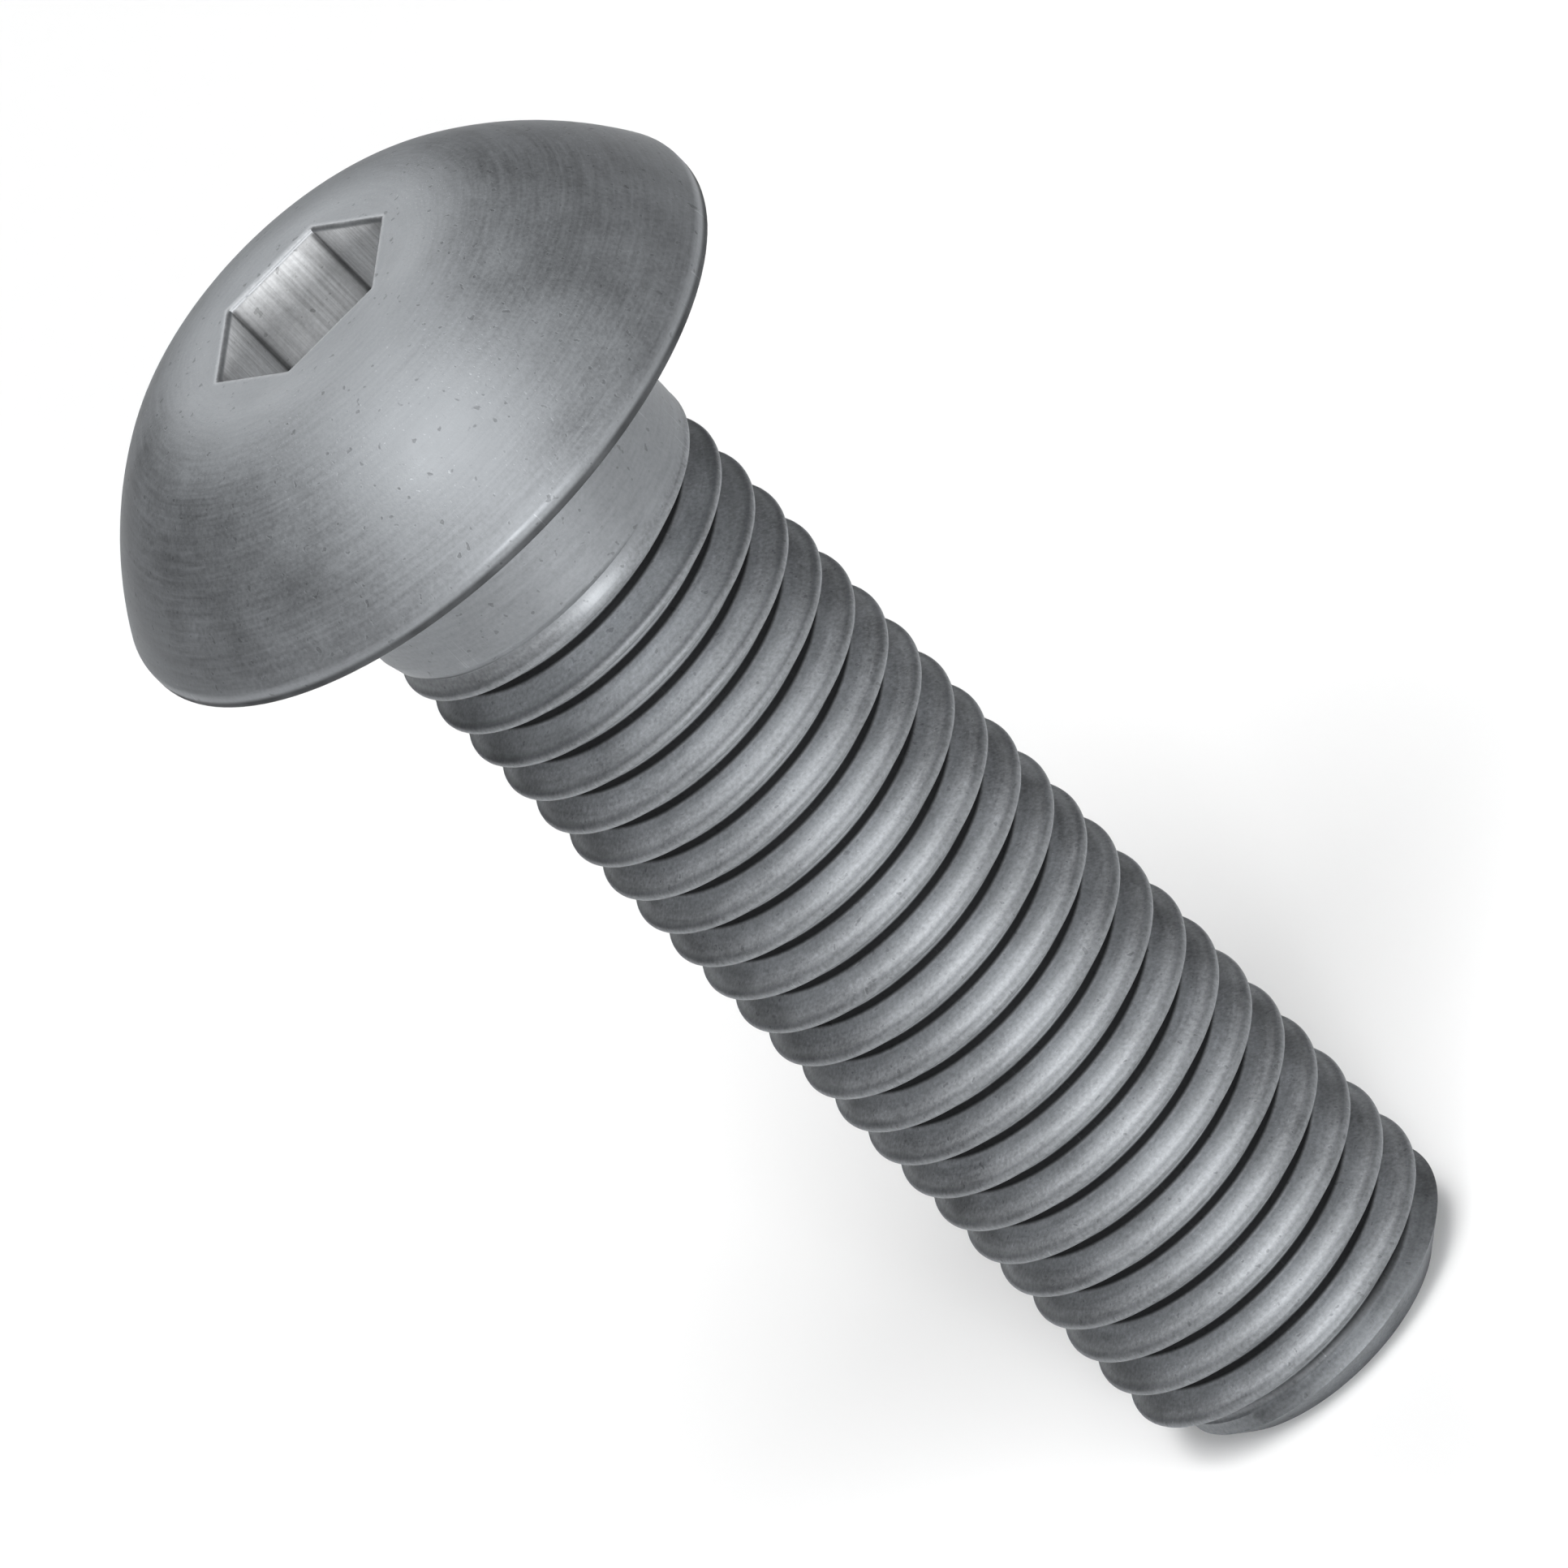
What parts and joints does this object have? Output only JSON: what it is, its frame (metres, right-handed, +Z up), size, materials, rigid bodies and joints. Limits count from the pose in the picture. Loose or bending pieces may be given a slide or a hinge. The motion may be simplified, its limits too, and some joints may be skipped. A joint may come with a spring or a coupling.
{
  "type": "button head socket screw",
  "caption": "Steel machine screw with a low domed head, a hexagon key socket, a short plain neck and a right-hand thread to a chamfered tip.",
  "frame": {"origin": "centre of the flat end of the tip, on the surface that the screw stands on", "axes": "+Z up along the screw's own axis, from tip to head; +X to the front, square to two of the socket's flats"},
  "size_m": [0.0148, 0.0148, 0.0325],
  "materials": {
    "steel": "plain satin grey steel, slightly darker in the thread roots"
  },
  "bodies": {
    "root": {"screw": "steel"}
  },
  "joints": []
}
